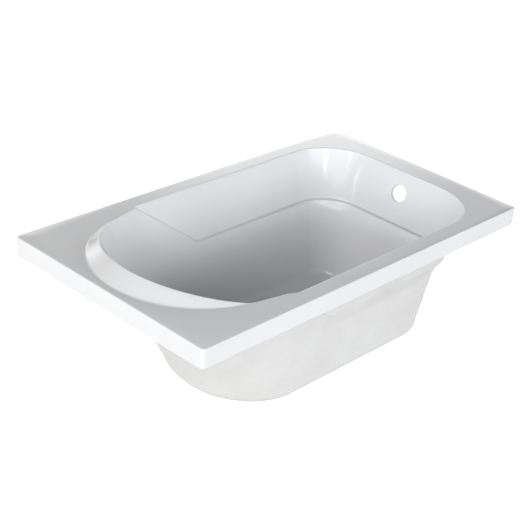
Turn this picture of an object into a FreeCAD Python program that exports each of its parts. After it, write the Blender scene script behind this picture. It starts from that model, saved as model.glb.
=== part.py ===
"""Acrylic bathtub, a compact bare shell of 1250 by 700 mm.

The bath is vacuum-formed from one acrylic sheet: a flat rim with a deep lip, a basin with a
narrow ledge round its sides and foot, and a headrest roll raised above the rim at the head.
Glass-fibre laminate backs the sheet all over. A chipboard panel under the floor and four
battens under the rim stiffen it, and each is sealed in by a laminate of its own.

Frame: x runs from the head (-) to the foot (+), y across, z up. The origin lies on the ground
under the middle of the rim. Levels inside the basin are depths below the rim's top face.
"""
import FreeCAD, Part
import math
import os

V = FreeCAD.Vector

# Overall sizes of the rim
RIM_LENGTH = 1250.0
RIM_WIDTH = 700.0
LIP_DEPTH = 53.0
RIM_CORNER_RADIUS = 12.0
RIM_ARRIS_RADIUS = 5.0

# Sheet, laminate and panel thicknesses
ACRYLIC_THICKNESS = 5.0
LAMINATE_THICKNESS = 3.0
LAMINATE_TRIM = 3.0

# Flat rim between the basin's mouth and the bath's edge, and the mouth's own sizes
SIDE_RIM_WIDTH = 49.0
FOOT_RIM_WIDTH = 77.0
HEAD_RIM_WIDTH = 90.5
MOUTH_CORNER_RADIUS = 165.0
RECESS_STEP = 9.0
MOUTH_EDGE_RADIUS = 7.0

# Side and foot walls, from the rim down
LEDGE_DEPTH = 152.0
SHOULDER_DEPTH = 190.0
BASIN_DEPTH = 398.0
UPPER_DRAFT_DEG = 15.45
SHOULDER_DRAFT_DEG = 21.5
LOWER_DRAFT_DEG = 9.2
FLOOR_RADIUS = 35.0

# The recess above the ledge ends towards the head on a slanting line, measured from the head
RECESS_END_AT_RIM = 269.5
RECESS_END_AT_LEDGE = 480.5
RECESS_END_RUN = 12.0
RECESS_BITE = 16.0

# Head end of the basin: a flare line, a shoulder arc and a blunt head arc
HEAD_LEAN = 224.5
FLARE_DEG = 12.0
SHOULDER_TURN_DEG = 33.0
FLARE_BLEND_RADIUS = 60.0
HEAD_SHOULDER_AT_RIM = 60.0
HEAD_SHOULDER_AT_FLOOR = 150.0
HEAD_ARC_AT_RIM_SHARE = 1.065
HEAD_ARC_AT_FLOOR_SHARE = 1.03

# Headrest roll: a cone that rises inwards from a ring on the rim
ROLL_HEAD_MARGIN = 23.5
ROLL_SIDE_INSET = 30.5
ROLL_SLOPE_DEG = 35.0
ROLL_ROOM = 45.0

# Waste and overflow
DRAIN_FROM_FOOT = 203.0
DRAIN_HOLE_DIAMETER = 52.0
DRAIN_DISH_DIAMETER = 84.0
DRAIN_DISH_DEPTH = 3.0
DRAIN_CLEARANCE_DIAMETER = 104.0
OVERFLOW_HOLE_DIAMETER = 52.0
OVERFLOW_DEPTH = 65.0

# Panel under the floor and the laminate that seals it
BOARD_THICKNESS = 16.0
BOARD_MARGIN = 38.0
BOARD_COVER_BOTTOM = 3.0
BOARD_COVER_SIDE = 1.5
BOARD_COVER_LAP = 33.0
BOARD_COVER_RADIUS = 46.0

# Battens under the rim and their laminate wraps
BATTEN_THICKNESS = 18.0
BATTEN_WIDTH = 30.0
FOOT_BATTEN_WIDTH = 40.0
BATTEN_WRAP = 2.0
BATTEN_END_SETBACK = 20.0
BATTEN_GAP = 3.0

# One overrun serves every cut, and a side this flat counts as a plane
OVERRUN = 10.0
FLATNESS = 0.001
BAND_HEIGHT_SHARE = 0.154

BACK = ACRYLIC_THICKNESS
SKIN = ACRYLIC_THICKNESS + LAMINATE_THICKNESS
FLOOR_SKIN_DEPTH = BASIN_DEPTH + SKIN
BASE_DEPTH = FLOOR_SKIN_DEPTH + BOARD_THICKNESS + BOARD_COVER_BOTTOM
RIM_HEIGHT = BASE_DEPTH

MOUTH_HALF_WIDTH = RIM_WIDTH / 2 - SIDE_RIM_WIDTH
MOUTH_FOOT_X = RIM_LENGTH / 2 - FOOT_RIM_WIDTH
HEAD_X_AT_RIM = HEAD_RIM_WIDTH - RIM_LENGTH / 2
HEAD_X_AT_FLOOR = HEAD_X_AT_RIM + HEAD_LEAN
RECESS_END_X = HEAD_X_AT_RIM + RECESS_END_AT_RIM
RECESS_END_LEDGE_X = HEAD_X_AT_RIM + RECESS_END_AT_LEDGE
ROLL_RADIUS = MOUTH_HALF_WIDTH - ROLL_SIDE_INSET
ROLL_CENTRE_X = ROLL_HEAD_MARGIN + ROLL_RADIUS - RIM_LENGTH / 2
DRAIN_X = MOUTH_FOOT_X - DRAIN_FROM_FOOT
BOARD_COVER_TOP_DEPTH = BASIN_DEPTH - BOARD_COVER_LAP

BOWL_HALF_WIDTH = MOUTH_HALF_WIDTH - RECESS_STEP
BOWL_FOOT_X = MOUTH_FOOT_X - RECESS_STEP
BOWL_CORNER_RADIUS = MOUTH_CORNER_RADIUS - RECESS_STEP
BAND_HEIGHT = BASIN_DEPTH * BAND_HEIGHT_SHARE
FLOOR_SECTIONS = 3
ROUND_SECTIONS = 2


def at(x, y, depth):
    """A point given by its depth below the rim's top face."""
    return V(x, y, RIM_HEIGHT - depth)


def tan_deg(angle):
    return math.tan(math.radians(angle))


def cos_deg(angle):
    return math.cos(math.radians(angle))


def sin_deg(angle):
    return math.sin(math.radians(angle))


def wall_inset(depth):
    """How far the side and foot walls have drawn in at a depth."""
    upper = min(depth, LEDGE_DEPTH)
    middle = min(max(depth - LEDGE_DEPTH, 0), SHOULDER_DEPTH - LEDGE_DEPTH)
    lower = max(depth - SHOULDER_DEPTH, 0)
    inset = upper * tan_deg(UPPER_DRAFT_DEG)
    inset += middle * tan_deg(SHOULDER_DRAFT_DEG)
    inset += lower * tan_deg(LOWER_DRAFT_DEG)
    return inset


def between(at_rim, at_floor, depth):
    return at_rim + (at_floor - at_rim) * depth / BASIN_DEPTH


def turn_arc(start, heading, radius, turn):
    """An arc that starts at a point with a heading and turns left by an angle, in degrees."""
    def step(angle):
        dx = radius * (sin_deg(heading + angle) - sin_deg(heading))
        dy = radius * (cos_deg(heading) - cos_deg(heading + angle))
        return start + V(dx, dy, 0)
    middle = step(turn / 2)
    end = step(turn)
    return Part.Arc(start, middle, end).toShape(), end


def mirror_y(point):
    return V(point.x, -point.y, point.z)


def bowl_outline(depth, growth):
    """The basin's outline at a depth, grown outwards: four lines a side joined by arcs."""
    inset = wall_inset(depth) - growth
    half = BOWL_HALF_WIDTH - inset
    foot = BOWL_FOOT_X - inset
    corner = BOWL_CORNER_RADIUS - inset
    head = between(HEAD_X_AT_RIM, HEAD_X_AT_FLOOR, depth) - growth
    blend = FLARE_BLEND_RADIUS + growth
    shoulder = between(HEAD_SHOULDER_AT_RIM, HEAD_SHOULDER_AT_FLOOR, depth) + growth
    share = between(HEAD_ARC_AT_RIM_SHARE, HEAD_ARC_AT_FLOOR_SHARE, depth)
    head_arc = (half - growth) * share + growth

    drop = blend * (1 - cos_deg(FLARE_DEG))
    drop += shoulder * (cos_deg(FLARE_DEG) - cos_deg(SHOULDER_TURN_DEG))
    drop += head_arc * cos_deg(SHOULDER_TURN_DEG)
    flare = (half - drop) / sin_deg(FLARE_DEG)
    run = blend * sin_deg(FLARE_DEG) + flare * cos_deg(FLARE_DEG)
    run += shoulder * (sin_deg(SHOULDER_TURN_DEG) - sin_deg(FLARE_DEG))
    run += head_arc * (1 - sin_deg(SHOULDER_TURN_DEG))

    foot_low = at(foot, corner - half, depth)
    foot_high = mirror_y(foot_low)
    edges = [Part.LineSegment(foot_low, foot_high).toShape()]
    arc, point = turn_arc(foot_high, 90, corner, 90)
    edges.append(arc)
    side_end = at(head + run, half, depth)
    edges.append(Part.LineSegment(point, side_end).toShape())
    arc, point = turn_arc(side_end, 180, blend, FLARE_DEG)
    edges.append(arc)
    flare_end = point + V(-flare * cos_deg(FLARE_DEG), -flare * sin_deg(FLARE_DEG), 0)
    edges.append(Part.LineSegment(point, flare_end).toShape())
    arc, point = turn_arc(flare_end, 180 + FLARE_DEG, shoulder, SHOULDER_TURN_DEG - FLARE_DEG)
    edges.append(arc)
    arc, point = turn_arc(point, 180 + SHOULDER_TURN_DEG, head_arc, 180 - 2 * SHOULDER_TURN_DEG)
    edges.append(arc)
    arc, point = turn_arc(point, 360 - SHOULDER_TURN_DEG, shoulder, SHOULDER_TURN_DEG - FLARE_DEG)
    edges.append(arc)
    blend_start = at(side_end.x - blend * sin_deg(FLARE_DEG), 0, depth)
    blend_start.y = blend * (1 - cos_deg(FLARE_DEG)) - half
    edges.append(Part.LineSegment(point, blend_start).toShape())
    arc, point = turn_arc(blend_start, 360 - FLARE_DEG, blend, FLARE_DEG)
    edges.append(arc)
    corner_start = at(foot - corner, -half, depth)
    edges.append(Part.LineSegment(point, corner_start).toShape())
    arc, point = turn_arc(corner_start, 0, corner, 90)
    edges.append(arc)
    return Part.Wire(edges)


def true_plane(face):
    """The same face on a true plane where it is flat, and unchanged where it is curved."""
    plane = face.findPlane(FLATNESS)
    if plane is None:
        return face
    flat = Part.Face(plane, [face.OuterWire])
    if flat.normalAt(0, 0).dot(face.normalAt(0, 0)) < 0:
        flat.reverse()
    return flat


def ruled_form(outlines):
    """A solid ruled from outline to outline."""
    faces = Part.makeLoft(outlines, True, True).Faces
    return Part.Solid(Part.Shell([true_plane(face) for face in faces]))


def banded(levels):
    """Levels with others put in between, so that no band of the curved walls is tall."""
    dense = levels[:1]
    for start, end in zip(levels, levels[1:]):
        count = math.ceil((end - start) / BAND_HEIGHT)
        dense += [start + (end - start) * step / count for step in range(1, count + 1)]
    return dense


def floor_round(bottom, radius, growth):
    """Outlines down the round between the walls and the floor."""
    wires = []
    span = 90 - LOWER_DRAFT_DEG
    for index in range(FLOOR_SECTIONS + 1):
        angle = LOWER_DRAFT_DEG + span * index / FLOOR_SECTIONS
        depth = bottom - radius * (1 - sin_deg(angle))
        sunk = radius * (sin_deg(angle) - sin_deg(LOWER_DRAFT_DEG))
        extra = radius * (cos_deg(LOWER_DRAFT_DEG) - cos_deg(angle)) - sunk * tan_deg(LOWER_DRAFT_DEG)
        wires.append(bowl_outline(depth, growth - extra))
    return wires


def bowl_form(growth, bottom, radius, top):
    """The basin as a solid: ruled walls over a rounded floor."""
    levels = [top] + [level for level in (LEDGE_DEPTH, SHOULDER_DEPTH) if level > top]
    levels.append(bottom - radius * (1 - sin_deg(LOWER_DRAFT_DEG)))
    walls = [bowl_outline(level, growth) for level in banded(levels)]
    return ruled_form(walls[:-1] + floor_round(bottom, radius, growth))


def recess_outline(depth, growth):
    """The recess above the ledge, at a depth: a long mouth with a rounded foot."""
    inset = wall_inset(depth) - growth
    half = MOUTH_HALF_WIDTH - inset
    foot = MOUTH_FOOT_X - inset
    corner = MOUTH_CORNER_RADIUS - inset
    slant = (RECESS_END_LEDGE_X - RECESS_END_X) / LEDGE_DEPTH
    end = RECESS_END_X + slant * depth - growth
    foot_low = at(foot, corner - half, depth)
    foot_high = mirror_y(foot_low)
    edges = [Part.LineSegment(foot_low, foot_high).toShape()]
    arc, point = turn_arc(foot_high, 90, corner, 90)
    edges.append(arc)
    step_top = at(end, half, depth)
    step_foot = at(end - RECESS_END_RUN, half - RECESS_BITE, depth)
    for corner_point in (step_top, step_foot, mirror_y(step_foot), mirror_y(step_top)):
        edges.append(Part.LineSegment(point, corner_point).toShape())
        point = corner_point
    corner_start = at(foot - corner, -half, depth)
    edges.append(Part.LineSegment(point, corner_start).toShape())
    arc, point = turn_arc(corner_start, 0, corner, 90)
    edges.append(arc)
    return Part.Wire(edges)


def mouth_round():
    """Outlines of the rounded edge between the rim and the recess, from the top down."""
    radius = MOUTH_EDGE_RADIUS
    wires = []
    reach = radius * cos_deg(UPPER_DRAFT_DEG)
    reach -= radius * (1 - sin_deg(UPPER_DRAFT_DEG)) * tan_deg(UPPER_DRAFT_DEG)
    span = 90 - UPPER_DRAFT_DEG
    for index in range(ROUND_SECTIONS + 1):
        angle = 90 - span * index / ROUND_SECTIONS
        sunk = radius * (1 - sin_deg(angle))
        wider = reach - radius * cos_deg(angle) + sunk * tan_deg(UPPER_DRAFT_DEG)
        wires.append(recess_outline(sunk, wider))
    return wires


def recess_form(growth):
    """The recess above the ledge, with its rounded edge at the rim."""
    ledge = LEDGE_DEPTH + growth
    top = -OVERRUN
    form = ruled_form([recess_outline(top, growth), recess_outline(ledge, growth)])
    if growth == 0:
        form = form.fuse(ruled_form(mouth_round()))
    return form


def drain_dish(growth):
    """The shallow dish round the waste hole."""
    radius = DRAIN_DISH_DIAMETER / 2 + growth
    bottom = BASIN_DEPTH + DRAIN_DISH_DEPTH + growth
    height = DRAIN_DISH_DEPTH + FLOOR_RADIUS
    return Part.makeCylinder(radius, height, at(DRAIN_X, 0, bottom))


def basin_form(growth):
    """Everything inside the basin wall, grown outwards by a thickness."""
    bowl = bowl_form(growth, BASIN_DEPTH + growth, FLOOR_RADIUS + growth, -ROLL_ROOM)
    return bowl.fuse([recess_form(growth), drain_dish(growth)])


def rim_outline(depth, drawn_in):
    """The rim's outer edge at a depth: a rectangle with round corners, drawn in on all sides."""
    x = RIM_LENGTH / 2 - drawn_in
    y = RIM_WIDTH / 2 - drawn_in
    corner = RIM_CORNER_RADIUS - drawn_in
    ends = [(x, y - corner), (corner - x, y), (-x, corner - y), (x - corner, -y)]
    edges = []
    point = at(x, corner - y, depth)
    for quarter, end in enumerate(ends, start=1):
        straight_end = at(end[0], end[1], depth)
        edges.append(Part.LineSegment(point, straight_end).toShape())
        arc, point = turn_arc(straight_end, 90 * quarter, corner, 90)
        edges.append(arc)
    return Part.Wire(edges)


def rim_block(inset, bottom):
    """The rim as a solid block, drawn in on all sides and on top by a thickness."""
    arris = max(RIM_ARRIS_RADIUS - inset, 0)
    steps = ROUND_SECTIONS if arris > 0 else 0
    outlines = []
    for index in range(steps):
        angle = 90 * index / steps
        sunk = arris * (1 - cos_deg(angle))
        outlines.append(rim_outline(inset + sunk, inset + arris * (1 - sin_deg(angle))))
    outlines.append(rim_outline(inset + arris, inset))
    outlines.append(rim_outline(bottom, inset))
    return ruled_form(outlines)


def roll_form(inset):
    """The headrest roll's cone, sunk by a thickness measured square to its slope."""
    slope = tan_deg(ROLL_SLOPE_DEG)
    sink = inset / cos_deg(ROLL_SLOPE_DEG)
    low = ROLL_RADIUS - (sink - inset) / slope
    high = ROLL_RADIUS - (sink + ROLL_ROOM) / slope
    return Part.makeCone(low, high, ROLL_ROOM + inset, at(ROLL_CENTRE_X, 0, inset))


def top_form(inset, bottom):
    return rim_block(inset, bottom).fuse(roll_form(inset))


def sheet_layer(outer, inner, lip_bottom):
    """One layer of the wall, from its face at one inset to its back at a deeper one."""
    face = top_form(outer, lip_bottom)
    basin = basin_form(inner)
    pocket = top_form(inner, lip_bottom + OVERRUN).cut(basin)
    low_corner = at(-RIM_LENGTH / 2, -RIM_WIDTH / 2, BASE_DEPTH)
    under = Part.makeBox(RIM_LENGTH, RIM_WIDTH, BASE_DEPTH - LIP_DEPTH / 2, low_corner)
    return face.fuse(basin.common(under)).cut([pocket, basin_form(outer)])


def drain_hole(diameter, top, bottom):
    return Part.makeCylinder(diameter / 2, bottom - top, at(DRAIN_X, 0, bottom))


def overflow_hole():
    """The overflow hole, square to the foot wall."""
    wall_x = MOUTH_FOOT_X - wall_inset(OVERFLOW_DEPTH)
    direction = V(cos_deg(UPPER_DRAFT_DEG), 0, -sin_deg(UPPER_DRAFT_DEG))
    reach = SKIN + OVERRUN
    start = at(wall_x, 0, OVERFLOW_DEPTH) - direction * OVERRUN
    return Part.makeCylinder(OVERFLOW_HOLE_DIAMETER / 2, reach + OVERRUN, start, direction)


def acrylic_shell():
    shell = sheet_layer(0, BACK, LIP_DEPTH)
    waste = drain_hole(DRAIN_HOLE_DIAMETER, BASIN_DEPTH - OVERRUN, BASE_DEPTH)
    return shell.cut([waste, overflow_hole()])


def wall_laminate():
    skin = sheet_layer(BACK, SKIN, LIP_DEPTH - LAMINATE_TRIM)
    waste = drain_hole(DRAIN_HOLE_DIAMETER, BASIN_DEPTH - OVERRUN, BASE_DEPTH)
    return skin.cut([waste, overflow_hole()])


def base_board():
    """The chipboard panel, seated flat under the laminated floor."""
    outline = Part.Face(bowl_outline(BASIN_DEPTH, -BOARD_MARGIN))
    outline.translate(V(0, 0, BASIN_DEPTH - FLOOR_SKIN_DEPTH - BOARD_THICKNESS))
    board = outline.extrude(V(0, 0, BOARD_THICKNESS))
    return board.cut(drain_hole(DRAIN_CLEARANCE_DIAMETER, BASIN_DEPTH, BASE_DEPTH + OVERRUN))


def base_cover():
    """The laminate that seals the panel in and laps up the basin wall."""
    growth = SKIN + BOARD_COVER_SIDE
    form = bowl_form(growth, BASE_DEPTH, BOARD_COVER_RADIUS, BOARD_COVER_TOP_DEPTH)
    form = form.cut(basin_form(SKIN))
    hole = drain_hole(DRAIN_CLEARANCE_DIAMETER, BASIN_DEPTH, BASE_DEPTH + OVERRUN)
    return form.cut([base_board(), hole])


def batten_box(length, width, across, growth, end_growth, low_growth):
    """A batten's box under the rim laminate, centred on its middle, grown for its wrap."""
    tall = BATTEN_THICKNESS + low_growth
    box = Part.makeBox(length + 2 * end_growth, width + growth, tall)
    box.translate(V(-length / 2 - end_growth, across - width - growth, RIM_HEIGHT - SKIN - tall))
    return box


def side_batten(width, across, length):
    """One batten against the lip on the +y side, and the laminate wrapped round it."""
    batten = batten_box(length, width, across, 0, 0, 0)
    wrap = batten_box(length, width, across, BATTEN_WRAP, BATTEN_WRAP, BATTEN_WRAP)
    return batten, wrap.cut(batten)


def place(shape, turn):
    placed = shape.copy()
    placed.rotate(V(0, 0, 0), V(0, 0, 1), turn)
    return placed


def battens():
    """The four battens under the rim with their wraps, by name."""
    lip_y = RIM_WIDTH / 2 - SKIN
    lip_x = RIM_LENGTH / 2 - SKIN
    long_length = 2 * (lip_x - BATTEN_END_SETBACK)
    side_edge = lip_y - BATTEN_WIDTH - BATTEN_WRAP
    short_length = 2 * (side_edge - BATTEN_GAP - BATTEN_WRAP)
    made = {}
    for name, turn in (("far", 0), ("near", 180)):
        batten, wrap = side_batten(BATTEN_WIDTH, lip_y, long_length)
        made["rim_batten_" + name] = place(batten, turn)
        made["batten_wrap_" + name] = place(wrap, turn)
    for name, turn, width in (("head", 90, BATTEN_WIDTH), ("foot", -90, FOOT_BATTEN_WIDTH)):
        batten, wrap = side_batten(width, lip_x, short_length)
        made["rim_batten_" + name] = place(batten, turn)
        made["batten_wrap_" + name] = place(wrap, turn)
    return made


def write(name, shape):
    shape = shape.removeSplitter()
    if len(shape.Solids) == 1:
        shape = shape.Solids[0]
    print(name, len(shape.Solids), "solid", shape.isValid(), round(shape.Volume), len(shape.Faces))
    shape.exportStep("parts/" + name + ".step")


os.makedirs("parts", exist_ok=True)
write("acrylic_shell", acrylic_shell())
write("wall_laminate", wall_laminate())
write("base_board", base_board())
write("base_cover", base_cover())
for batten_name, batten_shape in battens().items():
    write(batten_name, batten_shape)
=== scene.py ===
# %% [markdown]
# # A compact acrylic bathtub
# A bath shell like this is one sheet of white acrylic, softened in an oven and drawn down into a
# mould by vacuum. Its back is then sprayed with chopped glass fibre in resin. A chipboard panel
# under the floor and four battens under the rim are laid in that laminate. This lesson dresses the
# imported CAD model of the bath, in metres and in the same frame.

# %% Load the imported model
import math

import bpy
import numpy as np
from mathutils import Matrix, Vector


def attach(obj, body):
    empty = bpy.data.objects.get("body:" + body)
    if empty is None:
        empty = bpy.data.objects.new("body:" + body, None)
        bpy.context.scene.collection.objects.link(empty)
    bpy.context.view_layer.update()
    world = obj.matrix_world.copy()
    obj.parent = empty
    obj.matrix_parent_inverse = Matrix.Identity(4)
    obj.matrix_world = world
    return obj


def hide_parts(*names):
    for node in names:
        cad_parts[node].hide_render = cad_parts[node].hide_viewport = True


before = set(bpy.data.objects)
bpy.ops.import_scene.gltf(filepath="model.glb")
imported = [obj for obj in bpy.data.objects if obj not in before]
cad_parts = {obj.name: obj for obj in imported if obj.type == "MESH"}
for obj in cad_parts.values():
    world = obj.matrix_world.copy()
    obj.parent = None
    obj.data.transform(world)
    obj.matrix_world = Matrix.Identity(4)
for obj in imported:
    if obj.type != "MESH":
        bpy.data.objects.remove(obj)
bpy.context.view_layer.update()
print("nodes:", ", ".join(sorted(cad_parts)))

# %% [markdown]
# ## The basin's rule
# Every level of the basin has the same kind of outline: a straight foot, two round corners, two
# straight sides, and a head end that flares in, turns a shoulder and closes with a blunt arc. Only
# the sizes change with depth. The outline is written once as a path with a heading, so that any
# level, and the sheet's back too, comes from the same few numbers. Sizes are in millimetres here
# and become metres when a mesh is made.

# %% Sizes of the bath
MM = 0.001
RIM_LENGTH, RIM_WIDTH, RIM_HEIGHT, LIP_DEPTH = 1250.0, 700.0, 425.0, 53.0
RIM_CORNER, RIM_ARRIS = 10.0, 3.5
SHEET, SKIN = 5.0, 8.0
MOUTH_HALF, MOUTH_FOOT, MOUTH_CORNER = 301.0, 548.0, 165.0
LEDGE, LEDGE_DEPTH, SHOULDER_DEPTH, BASIN_DEPTH = 9.0, 152.0, 190.0, 398.0
DRAFTS = (15.45, 21.5, 9.2)
FLOOR_RADIUS = 35.0
HEAD_RULES = ((-534.5, 224.5), (60.0, 90.0), (1.065, -0.035))  # at the rim, change to the floor
RECESS_END, RECESS_END_LOW = -265.0, -54.0
FLARE, TURN, BLEND_RADIUS = 12.0, 33.0, 60.0
ROLL_CENTRE, ROLL_RADIUS, ROLL_SLOPE = -331.0, 270.5, math.radians(35)
DRAIN_X, DRAIN_RADIUS, DISH_RADIUS, DISH_DEPTH = 345.0, 26.0, 42.0, 3.0
OVERFLOW_DEPTH, OVERFLOW_RADIUS = 65.0, 26.0
ARC_STEPS = 48


def wall_inset(depth):
    """How far the sides and the foot have drawn in at a depth."""
    middle = np.clip(depth - LEDGE_DEPTH, 0, SHOULDER_DEPTH - LEDGE_DEPTH)
    spans = (min(depth, LEDGE_DEPTH), middle, max(depth - SHOULDER_DEPTH, 0))
    return sum(span * math.tan(math.radians(draft)) for span, draft in zip(spans, DRAFTS))


def turned(start, heading, radius, turn, steps):
    """Points and headings round an arc that turns left by an angle in degrees."""
    angles = heading + turn * np.arange(1, steps + 1) / steps
    a, h = np.radians(angles), math.radians(heading)
    x = start[0] + radius * (np.sin(a) - math.sin(h))
    y = start[1] + radius * (math.cos(h) - np.cos(a))
    return np.column_stack([x, y, a])


def half_outline(depth, growth=0.0):
    """One half of the outline as x, y and heading, from the foot's middle round to the head's."""
    inset, share = wall_inset(depth) - growth, depth / BASIN_DEPTH
    half, foot, corner = (size - LEDGE - inset for size in (MOUTH_HALF, MOUTH_FOOT, MOUTH_CORNER))
    head, shoulder, blunt = (start + change * share for start, change in HEAD_RULES)
    head, blend, shoulder = head - growth, BLEND_RADIUS + growth, shoulder + growth
    blunt = (half - growth) * blunt + growth
    cos_f, sin_f = math.cos(math.radians(FLARE)), math.sin(math.radians(FLARE))
    cos_t, sin_t = math.cos(math.radians(TURN)), math.sin(math.radians(TURN))
    drop = blend * (1 - cos_f) + shoulder * (cos_f - cos_t) + blunt * cos_t
    flare = (half - drop) / sin_f
    run = blend * sin_f + flare * cos_f + shoulder * (sin_t - sin_f) + blunt * (1 - sin_t)
    path = [np.array([[foot, 0, math.pi / 2], [foot, half - corner, math.pi / 2]])]
    path.append(turned(path[-1][-1], 90, corner, 90, ARC_STEPS))
    path.append(np.array([[head + run, half, math.pi]]))
    path.append(turned(path[-1][-1], 180, blend, FLARE, 8))
    x, y, heading = path[-1][-1]
    path.append(np.array([[x - flare * cos_f, y - flare * sin_f, heading]]))
    path.append(turned(path[-1][-1], 180 + FLARE, shoulder, TURN - FLARE, 12))
    path.append(turned(path[-1][-1], 180 + TURN, blunt, 90 - TURN, 60))
    return np.vstack(path)


rim_path = half_outline(0)
print("outline at the rim: foot", round(rim_path[0, 0]), "head", round(rim_path[-1, 0]), "mm")

# %% [markdown]
# ## Columns
# Every outline gets the same number of points, and a point keeps its feature from level to level:
# the corner's points stay on the corner, and two points follow the slanting line where the recess
# above the ledge ends. Such a set of matching points down the wall is a column.

# %% Matching points on every outline
FOOT_STEPS, CORNER_STEPS, SIDE_STEPS, NOTCH_STEPS, HEAD_STEPS = 14, 24, 42, 8, 72
PINS = np.cumsum([0, FOOT_STEPS, CORNER_STEPS, SIDE_STEPS, NOTCH_STEPS, HEAD_STEPS])
COLUMNS = np.arange(PINS[-1] + 1)
NOTCH_HALF, NOTCH_SWELL, NOTCH_CURVE = 6.0, 0.08, 2.4
TABLE_DEPTHS = np.concatenate([np.arange(-60, 0, 3), np.arange(0, 160, 2), np.arange(160, 421, 4)])


def eased(x):
    """A smooth step from 0 to 1."""
    x = np.clip(x, 0, 1)
    return x * x * (3 - 2 * x)


notch_part = np.clip((COLUMNS - PINS[3]) / NOTCH_STEPS, 0, 1)
notch_swell = NOTCH_SWELL * np.sin(2 * math.pi * np.minimum(notch_part, 0.5))
RECESS_SHARE = 1 + notch_swell - notch_part ** NOTCH_CURVE


def run_length(path):
    """Distance along a path, at each of its points."""
    return np.concatenate([[0], np.cumsum(np.hypot(*np.diff(path[:, :2], axis=0).T))])


def columns_at(depth, growth=0.0):
    """Half an outline's points and outward normals, one for each column."""
    path = half_outline(depth, growth)
    length = run_length(path)
    slant = (RECESS_END_LOW - RECESS_END) / LEDGE_DEPTH
    end = RECESS_END + slant * np.clip(depth - growth, 0, LEDGE_DEPTH) - growth
    after = slice(ARC_STEPS + 1, None)
    notch = [np.interp(-x, -path[after, 0], length[after]) for x in (end + NOTCH_HALF, end - NOTCH_HALF)]
    marks = [0, length[1], length[ARC_STEPS + 1], *notch, length[-1]]
    s = np.interp(COLUMNS, PINS, marks)
    x, y, heading = (np.interp(s, length, path[:, k]) for k in range(3))
    return np.column_stack([x, y, np.sin(heading), -np.cos(heading)])


def at_height(plan, height):
    """Points in plan, put at one height or at a height each."""
    return np.column_stack([plan, np.broadcast_to(height, len(plan))])


class Wall:
    """The basin wall at one growth, read at any depth, column by column."""

    def __init__(self, growth):
        self.growth = growth
        self.table = np.array([columns_at(float(d), growth) for d in TABLE_DEPTHS])

    def at(self, depth, outset=0.0):
        """Points at a depth, or at one depth for each column, moved outwards by an outset."""
        depth = np.broadcast_to(np.asarray(depth, float), COLUMNS.shape)
        low = np.clip(np.searchsorted(TABLE_DEPTHS, depth, "right") - 1, 0, len(TABLE_DEPTHS) - 2)
        part = ((depth - TABLE_DEPTHS[low]) / (TABLE_DEPTHS[low + 1] - TABLE_DEPTHS[low]))[:, None]
        row = self.table[low, COLUMNS] * (1 - part) + self.table[low + 1, COLUMNS] * part
        return at_height(row[:, :2] + row[:, 2:] * np.reshape(outset, (-1, 1)), RIM_HEIGHT - depth)


print("columns in half an outline:", len(COLUMNS))

# %% [markdown]
# ## Roundings
# A sheet that is drawn over a mould has no sharp edge. Each edge of the section is rounded the way
# a draughtsman does it: back off along both sides and lay an arc of the right radius between the
# two points. A rational curve of the second degree gives an exact arc for any angle.

# %% Round a corner of the section
LEAST_BACK, ROOM_SHARE = 0.6, 0.48


def unit(v):
    """Each row of vectors, made one long."""
    return v / np.maximum(np.linalg.norm(v, axis=1, keepdims=True), 1e-9)


def rounded(before, corner, after, radius, steps):
    """Rows of points round a corner, for all columns at once."""
    a, b = unit(before - corner), unit(after - corner)
    turn = math.pi - np.arccos(np.clip((a * b).sum(1), -1, 1))
    room = np.minimum(np.linalg.norm(before - corner, axis=1), np.linalg.norm(after - corner, axis=1))
    back = np.maximum(radius * np.tan(turn / 2), LEAST_BACK)
    back = np.minimum(back, ROOM_SHARE * room)[:, None]
    first, last = corner + a * back, corner + b * back
    weight = np.cos(turn / 2)[:, None]
    rows = []
    for t in np.linspace(0, 1, steps + 1):
        mix = (1 - t) ** 2 * first + 2 * t * (1 - t) * weight * corner + t * t * last
        rows.append(mix / ((1 - t) ** 2 + 2 * t * (1 - t) * weight + t * t))
    return rows


def run_between(first, last, steps):
    """Rows strictly between two rows."""
    return [first + (last - first) * k / steps for k in range(1, steps)]


sample = rounded(*np.array([[(9, 0, 0)], [(0, 0, 0)], [(0, 9, 0)]], float), 4, 2)
print("middle of a 4 mm round on a square corner:", sample[1][0].round(2).tolist())

# %% [markdown]
# ## The rim, the lip and the headrest roll
# Outside the mouth the sheet runs flat to a rounded rectangle and turns down as the lip. Round the
# head it first climbs a shallow cone, the headrest roll, whose ring stands on the rim. The basin's
# wall cuts the cone, and that cut is the roll's crest. Its height is found for each column by
# halving an interval until the wall and the cone agree.

# %% The rim's rectangle and the roll's cone
CORNER_MIDDLE = FOOT_STEPS + CORNER_STEPS // 2
HEAD_CORNER = PINS[4] + 34
CORNER_SPREAD, RIM_ARC_STEPS, LEAST_CORNER = 3, 12, 3.0
SIDE_MARKS = (-410, 265)
LEAST_REACH, HIGHEST_CREST, HALVINGS = 9.0, 55.0, 40


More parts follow.
